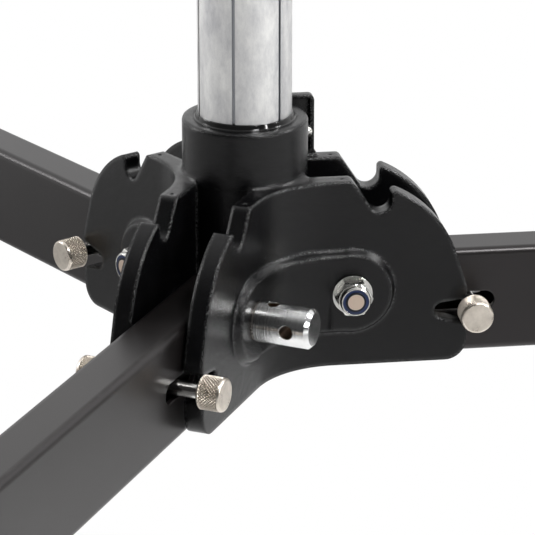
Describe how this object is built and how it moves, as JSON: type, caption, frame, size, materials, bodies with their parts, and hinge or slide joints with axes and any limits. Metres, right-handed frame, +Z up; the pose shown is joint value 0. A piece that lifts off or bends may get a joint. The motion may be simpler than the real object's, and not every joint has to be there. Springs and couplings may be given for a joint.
{
  "type": "roller light stand",
  "caption": "Roller stand for lights with a black cast hub, folding rectangular legs on braked casters, a grooved bright column and sliding risers",
  "frame": {"origin": "On the floor, on the axis of the column, midway between the three legs", "axes": "+Z runs up the column. +X runs out along the right leg. The left leg is at 120 degrees from +X and the front leg at 240 degrees, counted towards +Y"},
  "size_m": [0.8813, 1.0176, 1.2],
  "materials": {
    "casting": "semi-gloss black powder coat over cast aluminium, slight grain",
    "leg_paint": "satin black paint, smooth",
    "chrome_tube": "bright plated tube, slightly mottled",
    "plated_steel": "bright zinc plating",
    "nickel": "dull nickel, knurled",
    "zinc_fork": "zinc plated sheet",
    "black_plastic": "black nylon",
    "grey_plastic": "moulded grey plastic",
    "red_plastic": "moulded red plastic",
    "blue_nylon": "blue nylon",
    "tyre_rubber": "dark rubber"
  },
  "bodies": {
    "base": {"hub_casting": "casting", "column_bushing": "black_plastic", "column_tube": "chrome_tube", "column_foot_plug": "black_plastic", "lug_screw": "plated_steel", "lower_collar": "casting", "pivot_bolt_right": "plated_steel", "pivot_nut_right": "plated_steel", "nut_ring_right": "blue_nylon", "pivot_washers_right": "plated_steel", "pivot_bolt_left": "plated_steel", "pivot_nut_left": "plated_steel", "nut_ring_left": "blue_nylon", "pivot_washers_left": "plated_steel", "pivot_stud_front": "plated_steel", "pivot_nut_front": "plated_steel", "nut_ring_front": "blue_nylon", "pivot_washers_front": "plated_steel"},
    "leg_right": {"leg_tube_right": "leg_paint", "pivot_bushes_right": "black_plastic", "leg_end_right": "casting"},
    "lock_right": {"lock_pin_right": "plated_steel", "lock_knobs_right": "nickel"},
    "caster_right": {"caster_fork_right": "zinc_fork", "caster_axle_right": "plated_steel"},
    "wheel_right_body": {"wheel_right": "grey_plastic", "tyre_right": "tyre_rubber"},
    "brake_right": {"brake_pedal_right": "red_plastic"},
    "leg_left": {"leg_tube_left": "leg_paint", "pivot_bushes_left": "black_plastic", "leg_end_left": "casting"},
    "lock_left": {"lock_pin_left": "plated_steel", "lock_knobs_left": "nickel"},
    "caster_left": {"caster_fork_left": "zinc_fork", "caster_axle_left": "plated_steel"},
    "wheel_left_body": {"wheel_left": "grey_plastic", "tyre_left": "tyre_rubber"},
    "brake_left": {"brake_pedal_left": "red_plastic"},
    "leg_front": {"leg_tube_front": "leg_paint", "pivot_bushes_front": "black_plastic", "leg_end_front": "casting"},
    "lock_front": {"lock_pin_front": "plated_steel", "lock_knobs_front": "nickel"},
    "caster_front": {"caster_fork_front": "zinc_fork", "caster_axle_front": "plated_steel"},
    "wheel_front_body": {"wheel_front": "grey_plastic", "tyre_front": "tyre_rubber"},
    "brake_front": {"brake_pedal_front": "red_plastic"},
    "first_riser": {"riser_one": "chrome_tube", "upper_collar": "casting"},
    "second_riser": {"riser_two": "chrome_tube", "top_receiver": "casting", "top_spigot": "plated_steel"},
    "lower_knob_body": {"lower_knob": "black_plastic"},
    "upper_knob_body": {"upper_knob": "black_plastic"},
    "receiver_knob_body": {"receiver_knob": "black_plastic"}
  },
  "joints": [
    {"name": "leg_fold_right", "type": "hinge", "parent": "base", "child": "leg_right", "pos_m": [0.0398, 0, 0.1623], "axis": [0, -1, 0], "range_deg": [0, 88]},
    {"name": "lock_slide_right", "type": "slide", "parent": "leg_right", "child": "lock_right", "axis": [1, 0, 0], "range_m": [-0.0122, 0.0065]},
    {"name": "caster_swivel_right", "type": "hinge", "parent": "leg_right", "child": "caster_right", "pos_m": [0.555, 0, 0.12], "axis": [0, 0, 1], "continuous": true},
    {"name": "wheel_spin_right", "type": "hinge", "parent": "caster_right", "child": "wheel_right_body", "pos_m": [0.525, 0, 0.05], "axis": [0, 1, 0], "continuous": true},
    {"name": "brake_release_right", "type": "hinge", "parent": "caster_right", "child": "brake_right", "pos_m": [0.515, 0, 0.1096], "axis": [0, 1, 0], "range_deg": [0, 20]},
    {"name": "leg_fold_left", "type": "hinge", "parent": "base", "child": "leg_left", "pos_m": [-0.0199, 0.03447, 0.1623], "axis": [0.866, 0.5, 0], "range_deg": [0, 88]},
    {"name": "lock_slide_left", "type": "slide", "parent": "leg_left", "child": "lock_left", "axis": [-0.5, 0.866, 0], "range_m": [-0.0122, 0.0065]},
    {"name": "caster_swivel_left", "type": "hinge", "parent": "leg_left", "child": "caster_left", "pos_m": [-0.2775, 0.48064, 0.12], "axis": [0, 0, 1], "continuous": true},
    {"name": "wheel_spin_left", "type": "hinge", "parent": "caster_left", "child": "wheel_left_body", "pos_m": [-0.2625, 0.45466, 0.05], "axis": [-0.866, -0.5, 0], "continuous": true},
    {"name": "brake_release_left", "type": "hinge", "parent": "caster_left", "child": "brake_left", "pos_m": [-0.2575, 0.446, 0.1096], "axis": [-0.866, -0.5, 0], "range_deg": [0, 20]},
    {"name": "leg_fold_front", "type": "hinge", "parent": "base", "child": "leg_front", "pos_m": [-0.0199, -0.03447, 0.1623], "axis": [-0.866, 0.5, 0], "range_deg": [0, 88]},
    {"name": "lock_slide_front", "type": "slide", "parent": "leg_front", "child": "lock_front", "axis": [-0.5, -0.866, 0], "range_m": [-0.0122, 0.0065]},
    {"name": "caster_swivel_front", "type": "hinge", "parent": "leg_front", "child": "caster_front", "pos_m": [-0.2775, -0.48064, 0.12], "axis": [0, 0, 1], "continuous": true},
    {"name": "wheel_spin_front", "type": "hinge", "parent": "caster_front", "child": "wheel_front_body", "pos_m": [-0.2625, -0.45466, 0.05], "axis": [0.866, -0.5, 0], "continuous": true},
    {"name": "brake_release_front", "type": "hinge", "parent": "caster_front", "child": "brake_front", "pos_m": [-0.2575, -0.446, 0.1096], "axis": [0.866, -0.5, 0], "range_deg": [0, 20]},
    {"name": "first_riser_slide", "type": "slide", "parent": "base", "child": "first_riser", "axis": [0, 0, 1], "range_m": [0, 0.5]},
    {"name": "second_riser_slide", "type": "slide", "parent": "first_riser", "child": "second_riser", "axis": [0, 0, 1], "range_m": [0, 0.5]},
    {"name": "lower_knob_turn", "type": "hinge", "parent": "base", "child": "lower_knob_body", "pos_m": [0, 0, 1.006], "axis": [0.5, 0.866, 0], "range_deg": [-180, 0]},
    {"name": "upper_knob_turn", "type": "hinge", "parent": "first_riser", "child": "upper_knob_body", "pos_m": [0, 0, 1.066], "axis": [0.5, 0.866, 0], "range_deg": [-180, 0]},
    {"name": "receiver_knob_turn", "type": "hinge", "parent": "second_riser", "child": "receiver_knob_body", "pos_m": [0, 0, 1.175], "axis": [0.5, 0.866, 0], "range_deg": [-180, 0]}
  ]
}
